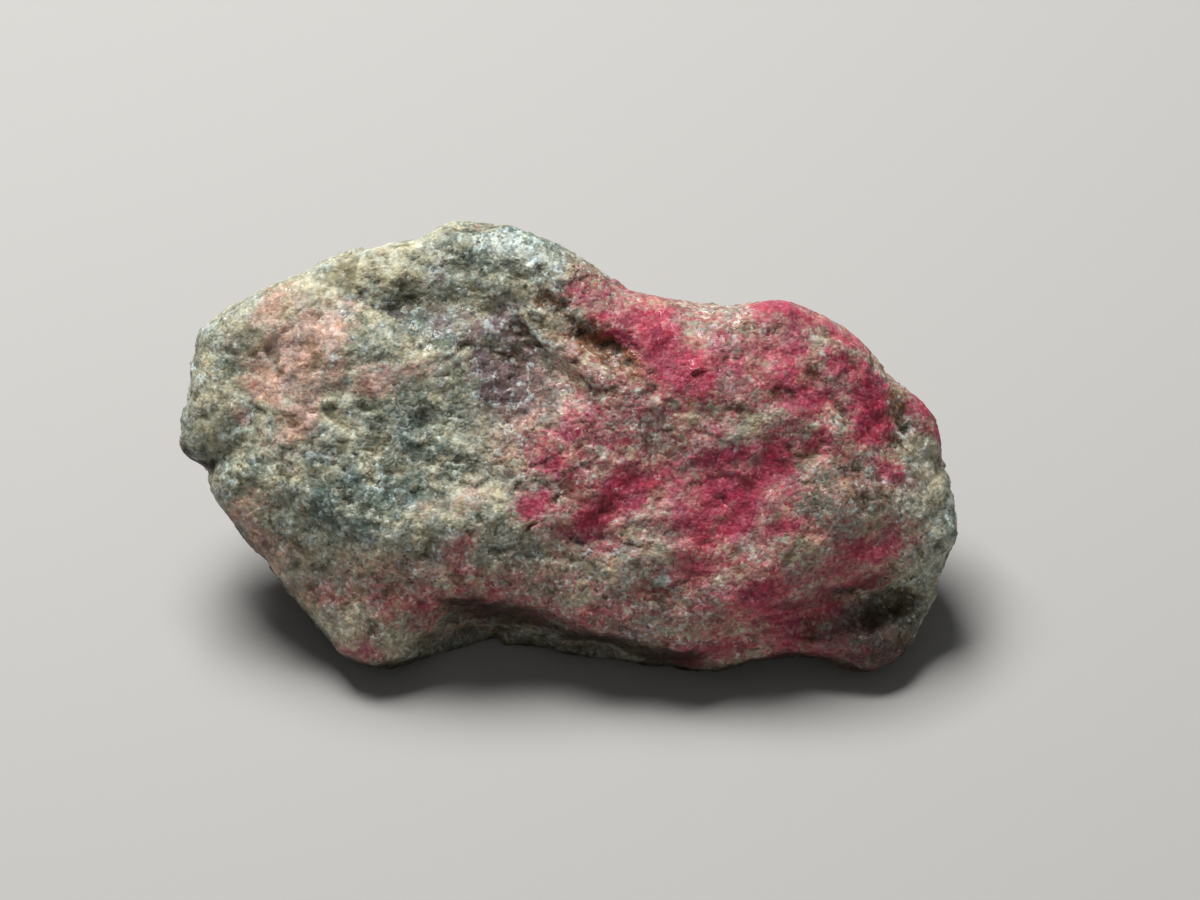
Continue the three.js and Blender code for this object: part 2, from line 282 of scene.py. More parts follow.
# %% Patches of tugtupite
TUGTUPITE = [
    (6.2, 0.4, 7.4, 5.4, -12, 0.19),
    (5.4, 3.6, 5.2, 1.9, -10, 0.2),
    (7.4, -5.4, 4.4, 1.7, 15, 0.26),
    (1.2, -1.0, 3.4, 2.8, 0, 0.2),
    (2.0, -5.9, 6.5, 1.4, -4, 0.16),
    (-6.4, -5.8, 4.2, 1.9, -15, 0.12),
    (12.0, -8.0, 1.8, 1.0, 0, 0.22),
    (3.4, 5.6, 0.85, 0.3, -5, 0.7),
    (3.0, 5.1, 0.95, 0.3, -5, 0.5),
    (3.4, 4.7, 1.0, 0.35, 15, 0.8),
    (3.8, 3.7, 1.4, 0.8, -40, 0.65),
    (5.0, 3.55, 1.1, 0.6, -20, 0.66),
    (4.7, 2.7, 0.8, 0.5, 10, 0.5),
    (1.3, 5.3, 0.55, 0.35, 0, 0.75),
    (1.7, 4.3, 0.7, 0.3, -15, 0.8),
    (0.4, 6.35, 0.9, 0.4, 10, 0.4),
    (1.6, 6.0, 0.8, 0.4, -10, 0.2),
    (0.8, 7.0, 1.2, 0.5, -30, 0.08),
    (8.5, 5.6, 1.0, 0.5, -15, 0.62),
    (7.8, 5.6, 0.5, 0.5, 0, 0.5),
    (8.5, 6.2, 1.0, 0.4, -10, 0.4),
    (10.4, 5.1, 0.9, 0.35, -35, 0.42),
    (9.3, 5.0, 0.7, 0.5, 0, 0.35),
    (11.2, 4.5, 0.9, 0.35, -40, 0.34),
    (8.2, 3.2, 2.0, 1.2, -30, 0.22),
    (8.7, 3.6, 0.5, 1.2, 0, 0.4),
    (10.7, 3.3, 0.45, 0.4, 0, 0.6),
    (11.8, 2.1, 1.25, 0.75, -68, 0.95),
    (12.1, 1.3, 0.8, 0.7, -40, 0.8),
    (9.7, 2.0, 1.0, 0.5, 15, 0.72),
    (11.9, 0.6, 0.8, 0.35, -10, 0.5),
    (10.0, 0.3, 0.35, 0.6, -20, 0.6),
    (12.8, -0.7, 0.7, 0.4, -20, 0.5),
    (14.1, 2.0, 0.6, 1.4, 25, 0.58),
    (14.9, 0.5, 0.3, 0.5, 10, 1.0),
    (6.1, -0.3, 1.3, 0.45, 12, 0.78),
    (5.85, -1.7, 1.2, 0.7, 40, 0.8),
    (8.4, -0.3, 0.9, 0.55, 55, 0.9),
    (7.1, -1.85, 1.1, 0.5, 60, 0.95),
    (6.3, -2.9, 0.9, 0.45, 40, 0.85),
    (8.5, -3.1, 1.0, 0.3, 15, 0.8),
    (0.9, -2.9, 0.9, 0.5, 15, 0.92),
    (1.4, -2.4, 1.4, 0.7, 40, 0.62),
    (2.15, -1.5, 1.0, 0.45, 45, 0.78),
    (3.5, -1.1, 0.7, 0.4, 40, 0.7),
    (2.8, -2.2, 0.8, 0.4, 40, 0.6),
    (4.7, -2.9, 0.8, 0.6, 50, 0.6),
    (5.0, -4.2, 1.2, 0.9, 50, 0.42),
    (-0.9, -0.3, 0.9, 0.7, -30, 0.2),
    (-0.7, -0.55, 0.4, 0.35, 0, 0.45),
    (-1.45, -2.3, 0.7, 0.5, -20, 0.85),
    (-0.2, 1.0, 1.4, 0.8, 25, 0.2),
    (-5.75, -6.4, 0.8, 0.6, 35, 0.32),
    (-4.1, -3.65, 0.8, 0.45, 45, 0.24),
    (-4.3, -4.9, 0.6, 0.9, 0, 0.14),
    (-3.5, -5.9, 1.1, 0.5, 0, 0.22),
    (-0.4, -6.5, 2.2, 0.5, -8, 0.24),
    (12.4, -3.8, 1.1, 0.7, 10, 0.5),
    (10.9, -4.7, 1.3, 0.6, 15, 0.46),
    (7.5, -5.8, 1.1, 0.7, 20, 0.5),
    (8.3, -6.8, 1.1, 0.7, 20, 0.6),
    (5.2, -8.0, 1.6, 0.5, 10, 0.55),
    (-12.3, 2.4, 0.4, 0.35, 0, 0.2),
    (-12.9, 1.3, 0.5, 0.35, 20, 0.2),
    (-7.9, 2.5, 0.8, 0.4, -10, 0.14),
    (-7.2, 3.2, 0.7, 0.4, -20, 0.12),
    (-8.3, -8.1, 1.0, 0.5, -10, 0.32),
    (-9.6, -5.7, 0.8, 0.6, 0, 0.16),
    (-7.6, -5.5, 0.9, 0.7, 0, 0.18),
    (-13.0, -2.8, 1.6, 0.5, -55, 0.14),
    (3.0, 6.2, 1.2, 0.4, -10, 0.3),
    (8.4, -2.0, 1.0, 0.6, 45, 0.4),
    (4.2, -1.7, 0.8, 0.4, 45, 0.4),
    (10.2, 0.0, 0.8, 0.6, 0, 0.3),
    (10.3, -6.2, 1.0, 0.6, 15, 0.4),
    (12.0, -5.2, 0.8, 0.3, 10, 0.3),
    (8.6, -7.8, 1.2, 0.6, 10, 0.5),
    (10.5, -7.9, 0.9, 0.5, 0, 0.4),
]
print(len(TUGTUPITE), "patches of tugtupite")

# %% [markdown]
# ## Pale veins
# Thin pale seams of matrix cross the red and part its spots. White patches laid over the red would look
# like paint, so these patches take tugtupite away instead and let the matrix show.

# %% Veins that part the tugtupite
PALE_VEINS = [
    (7.3, 0.9, 1.4, 0.4, 25, 0.7),
    (4.9, 1.4, 1.4, 0.4, 20, 0.55),
    (6.9, 5.0, 1.0, 0.4, 0, 0.5),
    (9.9, 4.0, 0.4, 1.0, 20, 0.5),
    (10.6, 1.0, 0.4, 1.0, 15, 0.4),
    (3.4, -3.9, 0.8, 0.45, 20, 0.7),
    (5.8, -5.3, 0.9, 0.35, 20, 0.7),
    (0.4, -6.0, 0.9, 0.45, 0, 0.7),
    (9.0, -4.3, 0.8, 0.4, 20, 0.6),
    (-2.6, -2.0, 0.7, 0.9, 0, 0.7),
    (1.0, -4.6, 2.4, 0.5, -10, 0.5),
    (9.9, -2.2, 1.4, 0.5, 15, 0.4),
    (4.2, -6.1, 1.0, 0.6, 0, 0.45),
]
print(len(PALE_VEINS), "pale veins")

# %% [markdown]
# ## The pale matrix
# The rest of the stone is a sugary mixture of pale minerals. It is salmon at the upper left, cream along
# the upper edge, and has clots of white grains. Soft patches of each are laid over an even mixture.

# %% Patches of the pale matrix
SALMON = [
    (-10.5, 4.5, 2.4, 2.0, 0, 0.75),
    (-11.4, 4.2, 2.2, 2.4, 0, 0.5),
    (-12.0, 2.3, 0.6, 0.6, 0, 0.5),
    (-13.2, 1.4, 0.5, 0.5, 0, 0.45),
    (-11.5, 5.6, 1.2, 0.6, 25, 0.7),
    (-10.8, 1.1, 1.0, 1.2, 0, 0.85),
    (-7.6, 2.6, 1.1, 0.7, -10, 0.7),
    (-11.8, 0.3, 0.9, 0.5, 0, 0.4),
    (-6.0, 3.2, 1.5, 0.8, 0, 0.5),
    (-12.6, -1.9, 0.9, 0.7, 0, 0.5),
    (-12.8, -3.2, 1.6, 0.5, -55, 0.45),
    (-10.8, -5.2, 3.2, 1.5, -48, 0.45),
    (-4.9, -2.2, 1.6, 0.6, 10, 0.45),
    (-3.2, -1.7, 1.2, 0.7, 15, 0.4),
    (2.8, -4.2, 1.6, 0.8, 25, 0.5),
    (8.0, -4.3, 1.4, 0.5, 15, 0.5),
]
CREAM = [
    (-9.1, 6.8, 2.4, 0.9, 22, 0.92),
    (-6.0, 8.2, 1.6, 0.5, 10, 0.63),
    (-4.6, 9.1, 0.9, 0.3, 0, 0.72),
    (9.7, 4.9, 0.7, 0.5, -20, 0.72),
    (-8.6, -7.4, 0.7, 0.5, 0, 0.63),
    (-1.0, 5.3, 0.4, 0.6, 0, 0.63),
    (5.7, 0.7, 1.5, 0.4, 20, 0.7),
    (7.4, 0.8, 1.2, 0.5, 25, 0.75),
    (12.0, -2.5, 1.6, 0.4, 15, 0.63),
    (14.4, -1.3, 0.8, 1.6, 0, 0.74),
    (-14.3, 2.8, 0.9, 2.0, 0, 0.45),
    # The next two rows lighten a slope at the upper left and the lower part of the left lobe, which fall in
    # shade: painted light.
    (-10.6, 4.8, 1.6, 1.4, 0, 0.35),
    (-14.4, 0.9, 1.0, 0.8, 0, 0.7),
    (-12.8, 4.6, 0.8, 1.2, 0, 0.6),
    (-9.4, 1.2, 0.6, 1.6, 15, 0.5),
    (-4.4, 0.0, 0.7, 0.6, 0, 0.25),
    (4.6, 1.5, 1.7, 0.5, 15, 0.75),
    (1.6, -4.4, 1.6, 0.4, -12, 0.5),
    (-0.3, 3.4, 1.5, 0.25, -50, 0.5),
    (-8.0, 7.3, 1.8, 0.7, 20, 0.6),
    (1.2, 3.3, 1.2, 0.4, -15, 0.7),
    (-0.2, 4.4, 0.6, 0.4, -40, 0.6),
    (3.4, -3.9, 0.8, 0.4, 20, 0.85),
    (5.8, -5.3, 0.8, 0.3, 20, 0.85),
    (0.4, -6.1, 0.8, 0.4, 0, 0.85),
    (9.0, -4.4, 0.7, 0.4, 20, 0.8),
    (-2.6, -2.0, 0.6, 0.8, 0, 0.7),
]
WHITE = [
    (-8.6, -2.8, 0.6, 0.4, 0, 0.59),
    (-8.0, -3.7, 0.5, 0.35, 0, 0.52),
    (-5.0, -0.9, 0.8, 0.8, 0, 0.39),
    (-2.8, 7.6, 0.5, 0.4, 0, 0.52),
    (-1.6, 7.8, 1.6, 0.8, -20, 0.66),
    (-3.4, 6.6, 0.7, 0.3, 0, 0.52),
    (-9.4, 3.5, 0.3, 0.3, 0, 0.52),
    (-14.6, 4.8, 0.6, 0.25, 10, 0.52),
    (-14.7, 3.0, 0.35, 0.35, 0, 0.52),
    (3.7, -5.2, 0.5, 0.3, 0, 0.8),
    (-1.2, 1.2, 0.5, 0.4, 0, 0.39),
    (12.8, 1.9, 0.25, 0.25, 0, 0.65),
    (-1.4, 4.6, 1.0, 0.12, -52, 0.8),
    (-1.2, 5.3, 0.25, 0.35, 0, 0.65),
    (15.2, -2.3, 0.4, 0.9, 0, 0.59),
    (13.4, -0.2, 0.4, 0.3, 0, 0.45),
    (-3.2, 8.2, 1.0, 0.5, 0, 0.66),
]
print(len(SALMON), "salmon,", len(CREAM), "cream and", len(WHITE), "white patches")

# %% [markdown]
# ## Darker minerals, stains and painted shade
# Grey-green grains lie across the middle of the pale end and on the top lump, and a mauve-grey band runs
# below it. Olive and brown stains sit in hollows where water has stood, and the pits hold dark grains. Olive
# and dark patches on the right lobe, in the hollow above it and in the left notch are painted shade. The
# skin under the ledges, between the feet and in a few other sheltered places gets painted shade too.

# %% Patches of the darker minerals, stains and painted shade
GREY_GREEN = [
    (-6.8, 0.8, 2.8, 1.1, 18, 0.52),
    (-8.8, -2.2, 2.2, 1.6, 0, 0.74),
    (-5.0, -0.2, 1.6, 1.0, 0, 0.5),
    (-6.6, -1.7, 1.4, 0.7, 0, 0.62),
    (-2.0, 8.2, 2.2, 1.0, -18, 0.76),
    (-3.6, 7.5, 1.5, 0.8, 0, 0.45),
    (-6.0, 4.8, 2.2, 1.0, -15, 0.55),
    (-8.6, 3.7, 1.0, 0.6, 0, 0.42),
    (10.0, -1.8, 1.8, 0.9, 10, 0.59),
    (-1.8, -3.8, 1.1, 0.8, 0, 0.59),
    (3.7, -5.5, 0.7, 0.5, 0, 0.51),
    (15.2, -2.5, 0.5, 1.3, 0, 0.77),
]
MAUVE = [
    (-2.3, 2.7, 2.2, 1.6, -40, 0.85),
    (-2.0, 2.6, 1.7, 1.2, -40, 0.6),
    (-5.0, 4.9, 1.3, 0.6, 0, 0.4),
    (-3.4, 5.3, 1.4, 0.8, 0, 0.56),
    (-2.0, 5.0, 1.0, 0.6, -40, 0.56),
    (-5.2, 6.7, 1.3, 0.5, 0, 0.4),
    (0.8, 2.3, 0.8, 0.5, 0, 0.4),
    (-7.6, -5.6, 1.2, 0.8, 0, 0.6),
    (-9.7, -5.8, 0.7, 0.6, 0, 0.6),
    (-8.2, -7.3, 0.9, 0.7, 0, 0.6),
    (12.0, -7.6, 1.6, 0.8, 0, 0.56),
    (-4.1, -4.4, 0.9, 0.9, 0, 0.5),
    (9.6, -2.4, 0.5, 0.4, 0, 0.7),
    (2.6, -7.4, 2.4, 0.5, -12, 0.75),
    (-2.4, -6.2, 1.8, 0.6, -10, 0.65),
]
OLIVE = [
    (-11.1, -3.4, 1.3, 1.0, 0, 0.8),
    (-6.4, -1.4, 0.8, 0.5, 0, 0.5),
    (2.8, 3.4, 0.9, 0.3, 0, 0.7),
    # Painted shade: darkens the notch in the left edge.
    (-14.6, -0.6, 0.6, 0.4, 0, 0.9),
    # The next two rows darken the right lobe, which lies in shade, and the right shoulder, which faces the
    # light: painted shade.
    (12.5, -7.9, 2.0, 1.2, 0, 0.92),
    (10.6, -1.6, 2.2, 1.0, 10, 0.9),
    (-6.0, 5.6, 1.9, 0.6, -12, 0.55),
    # Painted shade: darkens the hollow above the right lobe.
    (12.8, -6.1, 1.5, 0.8, 10, 0.9),
    (-12.0, -4.6, 2.0, 0.7, -50, 0.6),
    (1.6, -5.9, 0.5, 0.3, 0, 0.8),
    (-14.4, 2.0, 1.0, 1.6, 0, 0.72),
    (-0.7, -5.3, 0.6, 0.4, 0, 0.8),
    (2.9, -6.5, 0.5, 0.4, 0, 0.8),
    (-2.2, -5.6, 0.6, 0.4, 0, 0.7),
]
RUST = [
    (-0.6, 5.8, 1.1, 0.8, -40, 0.52),
    (0.9, 4.9, 0.7, 0.4, 0, 0.5),
    (0.8, 4.4, 0.9, 0.6, -20, 0.5),
    (1.6, 3.8, 1.6, 0.6, -25, 0.66),
    (2.7, 3.1, 0.9, 0.4, -25, 0.5),
    (12.9, 2.1, 1.0, 0.6, -60, 0.59),
    (13.4, 1.0, 0.6, 0.6, 0, 0.45),
    (1.2, 6.9, 0.8, 0.4, -35, 0.39),
]
DARK = [
    (-3.95, 8.85, 0.7, 0.22, 0, 0.75),
    (-3.7, 8.1, 0.2, 0.5, 0, 0.5),
    (-1.2, 7.1, 0.35, 0.25, 0, 0.56),
    (-1.6, 6.8, 0.4, 0.2, 0, 0.43),
    (-7.05, 5.6, 0.6, 0.3, -10, 0.72),
    (-6.3, 5.9, 0.7, 0.25, 0, 0.42),
    (-7.7, 6.7, 0.25, 0.2, 0, 0.5),
    (-4.8, 5.9, 0.5, 0.2, 0, 0.3),
    (-6.6, 4.6, 0.9, 0.35, -30, 0.37),
    (0.5, 4.7, 0.35, 0.3, 0, 0.5),
    (1.2, 4.0, 0.6, 0.25, -20, 0.35),
    (2.6, 3.4, 0.5, 0.2, 0, 0.5),
    (0.1, 5.1, 0.25, 0.3, 0, 0.5),
    (0.7, 4.3, 0.4, 0.2, -30, 0.4),
    (1.9, 3.9, 0.3, 0.2, 0, 0.55),
    (1.5, 4.25, 0.3, 0.2, 0, 0.5),
    (2.3, 3.5, 0.25, 0.2, 0, 0.5),
    (-0.9, 6.0, 0.3, 0.2, 0, 0.5),
    (-0.2, 5.7, 0.25, 0.2, 0, 0.5),
    (3.4, 2.4, 0.2, 0.35, 0, 0.5),
    (-2.3, 1.2, 0.9, 0.15, 25, 0.5),
    (-14.5, 3.9, 0.5, 0.3, 0, 0.36),
    (-13.7, 4.0, 0.3, 0.25, 0, 0.34),
    (-13.9, 5.2, 0.6, 0.2, 30, 0.37),
    (-8.6, -2.0, 0.25, 0.25, 0, 0.56),
    (-7.7, -3.0, 0.25, 0.2, 0, 0.5),
    (0.3, -3.6, 0.4, 0.2, -25, 0.62),
    (1.2, -3.5, 0.4, 0.15, 0, 0.56),
    (-2.2, -3.5, 0.6, 0.3, 0, 0.43),
    (13.1, 1.4, 0.35, 0.3, 0, 0.5),
    (13.4, 0.9, 0.4, 0.3, 0, 0.56),
    # The next five rows darken the hollow under the tongue and the right lobe, which lie in shade: painted
    # shade.
    (13.2, -6.3, 0.9, 0.4, 20, 0.14),
    (11.9, -6.9, 0.7, 0.4, -15, 0.2),
    (12.5, -7.7, 1.6, 0.9, 0, 0.25),
    (11.2, -5.7, 0.8, 0.22, -12, 0.66),
    (12.6, -5.7, 0.9, 0.25, 15, 0.4),
    # Painted shade: darkens the notch in the left edge.
    (-14.6, -0.6, 0.6, 0.3, 20, 0.56),
]
# Each patch here darkens the skin with the underside's tint as painted shade: the right lobe and its hollow,
# the ledge under the upper rim, the left notch, the rim between the feet and the right shoulder.
PAINTED_SHADE_PLACES = [
    (12.4, -8.1, 2.4, 1.4, 0, 0.8),
    (12.7, -6.6, 2.2, 1.1, 10, 0.38),
    (-5.6, 5.6, 2.2, 0.45, -8, 0.4),
    (-14.2, -0.6, 1.0, 0.35, 18, 0.5),
    (-5.0, -7.8, 2.0, 0.7, 20, 0.5),
    (0.5, -8.1, 6.0, 0.9, -8, 0.68),
    (10.6, -1.8, 1.8, 0.8, 10, 0.2),
]
print(len(DARK), "pits and", len(PAINTED_SHADE_PLACES), "sheltered places")

# %% [markdown]
# ## From patches to amounts
# Each mineral needs one number at every point of the skin. A patch is full in its middle and fades like a
# bell towards its edge. Where two patches of a mineral overlap, what the first leaves missing is partly
# filled by the second, so the amount never passes 1.

# %% Read the patches at every point
PATCH_EDGE = 1.1  # above 1, a patch is more even inside and its edge is tighter
SMALL_WANDER = 0.3  # small patches are bent less, or they would end up beside their pits


def patches_at(patches, wander=1.0):
    """How much of a mineral there is at every point of the skin, 0 to 1, from its patches."""
    missing = np.ones(count)
    across_u = on_face[:, 0] + wander * bend_u
    up_v = on_face[:, 1] + wander * bend_v
    for u, v, along, across, turn, strength in patches:
        cosine, sine = math.cos(math.radians(turn)), math.sin(math.radians(turn))
        right, up = across_u - u, up_v - v
        far = ((right * cosine + up * sine) / along) ** 2 + ((up * cosine - right * sine) / across) ** 2
        missing *= 1 - strength * np.exp(-(far ** PATCH_EDGE))
    return 1 - missing


minerals = {
    "tugtupite": patches_at(TUGTUPITE) * (1 - patches_at(PALE_VEINS)),
    "salmon": patches_at(SALMON),
    "cream": patches_at(CREAM),
    "white": patches_at(WHITE, SMALL_WANDER),
    "grey_green": patches_at(GREY_GREEN),
    "mauve": patches_at(MAUVE),
    "olive": patches_at(OLIVE),
    "rust": patches_at(RUST, SMALL_WANDER),
    "dark": patches_at(DARK, SMALL_WANDER),
}
print("read", len(minerals), "minerals at", count, "points")

# %% [markdown]
# ## The back
# The back of the stone is not known, but the same minerals run through it. Nobody needs to place its
# patches, so noise does: each mineral has its own size of patch, and the back is redder behind the red end.

# %% Minerals of the back
HALF_LENGTH = 15  # mm, from the middle of the face to either end
# Each line is the patches' size in mm, the noise's shift, how much more there is at the red end, the noise
# where the mineral starts and is full, and the most that there is.
BACK = {
    "tugtupite": (4.5, 3.1, 0.35, 0.05, 0.6, 0.9),
    "salmon": (5.0, 5.7, 0, 0.1, 0.5, 1),
    "cream": (4.0, 7.2, 0, 0.1, 0.6, 1),
    "white": (1.8, 9.4, 0, 0.35, 0.6, 1),
    "grey_green": (5.0, 13.8, -0.2, 0.05, 0.5, 1),
    "mauve": (4.0, 17.5, 0, 0.3, 0.6, 1),
    "olive": (3.0, 19.1, 0, 0.3, 0.6, 1),
    "rust": (2.5, 23.6, 0, 0.4, 0.65, 1),
    "dark": (1.2, 29.3, 0, 0.45, 0.65, 1),
}

red_end = np.clip(on_face[:, 0] / HALF_LENGTH, -1, 1)
for name, (size, shift, redder, start, full, most) in BACK.items():
    behind = most * ramp(noise_at(size, shift) + redder * red_end, start, full)
    minerals[name] = minerals[name] * in_front + behind * (1 - in_front)
    print(name, "covers", round(100 * float((minerals[name] > 0.5).mean()), 1), "%")

# %% [markdown]
# ## Broken grain
# A break through sugary rock is made of lumps, chips, crystal faces and grains, each a few times smaller
# than the last. Bump in a material could only pretend to have them, so each gets its own noise here, and
# the points themselves will move. Chips use noise folded at zero, which leaves sharp ridges. Facets are
# cells that tilt each their own way. Grains use the distance to scattered points, which leaves small domes
# with creases between. The red crystals are drawn out into streaks.

# %% Lumps, chips, facets and grains
LUMP_SIZE, LUMP_DEPTH = 2.8, 0.09  # mm
CHIP_SIZE, CHIP_DEPTH = 1.5, 0.14
GRAIN_SIZE, GRAIN_DEPTH = 0.48, 0.09
GRIT_SIZE, GRIT_DEPTH = 0.24, 0.03
CHIP_MIDDLE = 0.3  # folded noise is about this on average, so chips push in as much as out
GRAIN_MIDDLE = 0.5  # the same for the distance to scattered points
CELL_APART = 97  # spreads the cells' middles, so that neighbours get unlike tilts
FACETS = [(1.4, 0.07), (0.8, 0.11)]  # size in mm, and how steeply the facets tilt
STREAK_TURN = math.radians(40)  # the red crystals run up to the right across the face
STREAK_LENGTH, STREAK_WIDTH, STREAK_DEPTH = 3.0, 0.7, 0.07


def facets_at(size, tilt):
    """Small flat faces, each tilted its own way, as crystals break."""
    heights = []
    for place in places:
        spot = place / size
        centre = noise.voronoi(spot)[1][0]
        lean = 2 * noise.cell_vector(centre * CELL_APART) - Vector((1, 1, 1))
        heights.append((spot - centre).dot(lean))
    return tilt * size * np.array(heights)


def streaks_at():
    """Ribs and grooves along the red crystals."""
    along = on_face[:, 0] * math.cos(STREAK_TURN) + on_face[:, 1] * math.sin(STREAK_TURN)
    beside = on_face[:, 1] * math.cos(STREAK_TURN) - on_face[:, 0] * math.sin(STREAK_TURN)
    spots = zip(along / STREAK_LENGTH, beside / STREAK_WIDTH, on_face[:, 2] / STREAK_LENGTH)
    return np.array([noise.noise(Vector(spot)) for spot in spots])


red = np.clip(minerals["tugtupite"], 0, 1)
chips = CHIP_MIDDLE - np.abs(noise_at(CHIP_SIZE, shift=41.0))
grains = np.array([GRAIN_MIDDLE - noise.voronoi(place / GRAIN_SIZE)[0][0] for place in places])
facets = sum(facets_at(size, tilt) for size, tilt in FACETS)
grit = noise_at(GRIT_SIZE, shift=47.0)
print("facets reach", round(float(np.abs(facets).max()), 2), "mm")

# %% [markdown]
# ## Push the skin in and out
# Every point moves along its normal by the sum of the reliefs. Tugtupite breaks smoother than the matrix,
# dark patches are pits, and white grains stand a little proud. The points stay inside the box of the solid,
# and those on the ground are never pushed into it. Hollows, skin that faces down and a few listed places are
# noted for the finish, which darkens them as painted shade. All amounts are stored on the points as
# attributes, where the finish can read them.

# %% Move the points
PIT_DEPTH = 0.24  # mm
PROUD_WHITE = 0.08
SMOOTH_RED = 0.38  # how much of the roughness the tugtupite loses
UNDER_STARTS = (-0.1, 0.5)  # how far the skin faces down where the painted shade of the underside begins, and is full
HOLLOW_STARTS = (-0.02, 0.12)  # how deep the relief is where a hollow begins, and is full, mm
GROUND_SKIN = 0.02 * MM  # points below this lie on the ground

fine = CHIP_DEPTH * chips + facets + GRAIN_DEPTH * grains + GRIT_DEPTH * grit
fine = fine * (1 - SMOOTH_RED * red) + STREAK_DEPTH * red * streaks_at()
push = LUMP_DEPTH * noise_at(LUMP_SIZE, shift=43.0) + fine
push += PROUD_WHITE * minerals["white"] - PIT_DEPTH * minerals["dark"]
# The deeper a point lies in the fine relief, the more painted shade the finish gives it.
minerals["hollow"] = ramp(-fine, *HOLLOW_STARTS)

normals = np.empty(count * 3)
stone_mesh.vertex_normals.foreach_get("vector", normals)
# Skin that faces down, and the places listed for painted shade, are darkened in the finish: painted shade.
facing_down = ramp(-normals[2::3], *UNDER_STARTS)
minerals["under"] = np.maximum(facing_down, patches_at(PAINTED_SHADE_PLACES) * in_front)
points = flat.reshape(-1, 3)
on_ground = points[:, 2] < GROUND_SKIN
push[on_ground] = np.minimum(push[on_ground], 0)
points = points + normals.reshape(-1, 3) * (push * MM)[:, None]
points = np.clip(points, np.array(cad_low), np.array(cad_high))
stone_mesh.vertices.foreach_set("co", points.ravel())
stone_mesh.update()
print("pushed from", round(push.min(), 2), "to", round(push.max(), 2), "mm")

# %% Store the minerals on the skin
for name, amount in minerals.items():
    layer = stone_mesh.attributes.new(name, "FLOAT", "POINT")
    layer.data.foreach_set("value", amount.astype(np.float32))
print("stored", ", ".join(minerals))

# %% [markdown]
# ## The finish
# One material paints the whole stone. It reads the amounts of mineral stored on the skin and roughens
# their edges with fine noise, so that crystals of one mineral sit among those of the next. A painted
# picture would blur up close, while shader nodes stay sharp at any distance. All patterns read Object
# coordinates in mm, so they stay on the stone from any side.

# %% Helpers for the finish
rock = bpy.data.materials.new("tugtupite_in_matrix")
rock.use_nodes = True
tree = rock.node_tree
shader = tree.nodes["Principled BSDF"]
coordinates = add_node(tree, "ShaderNodeTexCoord").outputs["Object"]
in_mm = add_node(
    tree, "ShaderNodeVectorMath", {0: coordinates, "Scale": 1 / MM}, operation="SCALE"
).outputs["Vector"]


def noise_texture(size, detail=3.0, roughness=0.6, vector=in_mm):
    """Soft noise with lumps of a size in mm."""
    inputs = {"Vector": vector, "Scale": 1 / size, "Detail": detail, "Roughness": roughness}
    return add_node(tree, "ShaderNodeTexNoise", inputs).outputs["Fac"]


def calculate(operation, first, second):
    """Adds, multiplies or compares two numbers."""
    return add_node(tree, "ShaderNodeMath", {0: first, 1: second}, operation=operation).outputs[0]


def spread(value, low, high, start=0.0, end=1.0, curve="SMOOTHSTEP"):
    """Maps low..high onto start..end, along an easy curve or a straight line."""
    inputs = {"Value": value, "From Min": low, "From Max": high, "To Min": start, "To Max": end}
    return add_node(tree, "ShaderNodeMapRange", inputs, interpolation_type=curve).outputs["Result"]


def mix(amount, first, second, blend="MIX"):
    """Mixes two colours."""
    inputs = {"Factor": amount, 6: first, 7: second}
    return add_node(tree, "ShaderNodeMix", inputs, data_type="RGBA", blend_type=blend).outputs[2]


def mix_value(amount, first, second):
    """Mixes two numbers."""
    return add_node(tree, "ShaderNodeMix", {"Factor": amount, 2: first, 3: second}).outputs[0]


def stored(name):
    """An amount that is stored on the skin."""
    return add_node(tree, "ShaderNodeAttribute", attribute_name=name).outputs["Fac"]


# %% [markdown]
# ## Grains
# Up close the rock is a mosaic of grains 0.1 to 0.3 mm wide, and each grain is of one mineral. Cells around
# scattered points make such a mosaic, and every cell has a random colour of its own, which serves as three
# random numbers. Noise bends the cells first, because real grains have no straight edges. A mineral's
# amount then decides what share of the grains are of it.

# %% Mosaic of grains
GRAIN_SIZES = (0.3, 0.2, 0.13)  # mm
GRAIN_BEND = 0.1  # how far the grains' edges are bent, mm
BEND_SIZE = 0.4  # mm
NOISE_APART = 3.7  # how far apart the noises of two numbers lie


def separate(colour_of_cell):
    """The red, green and blue of a colour."""
    return add_node(tree, "ShaderNodeSeparateColor", {"Color": colour_of_cell}).outputs


def noise_of(number, size, detail=4.0, roughness=0.65):
    """Soft noise of a size in mm, unlike that of any other number."""
    inputs = {
        "Vector": in_mm,
        "Scale": 1 / size,
        "Detail": detail,
        "Roughness": roughness,
        "W": NOISE_APART * number,
    }
    return add_node(tree, "ShaderNodeTexNoise", inputs, noise_dimensions="4D").outputs["Fac"]


wobble = add_node(tree, "ShaderNodeTexNoise", {"Vector": in_mm, "Scale": 1 / BEND_SIZE}).outputs["Color"]
bent = add_node(
    tree,
    "ShaderNodeVectorMath",
    {0: wobble, 1: (2 * GRAIN_BEND,) * 3, 2: in_mm},
    operation="MULTIPLY_ADD",
).outputs["Vector"]
grain_cells = [
    add_node(tree, "ShaderNodeTexVoronoi", {"Vector": bent, "Scale": 1 / size}) for size in GRAIN_SIZES
]
grain_chances = [chance for made in grain_cells for chance in list(separate(made.outputs["Color"]))[:3]]
print(len(grain_chances), "random numbers for every grain")

# %% Grains of one mineral
GRAIN_EDGE = (0.25, 0.75)  # a grain begins to be of a mineral at the first, and is wholly so at the second


def centred(value, reach):
    """Moves a value around 0.5 to one around 0, at most half the reach either way."""
    return spread(value, 0, 1, -reach / 2, reach / 2, curve="LINEAR")


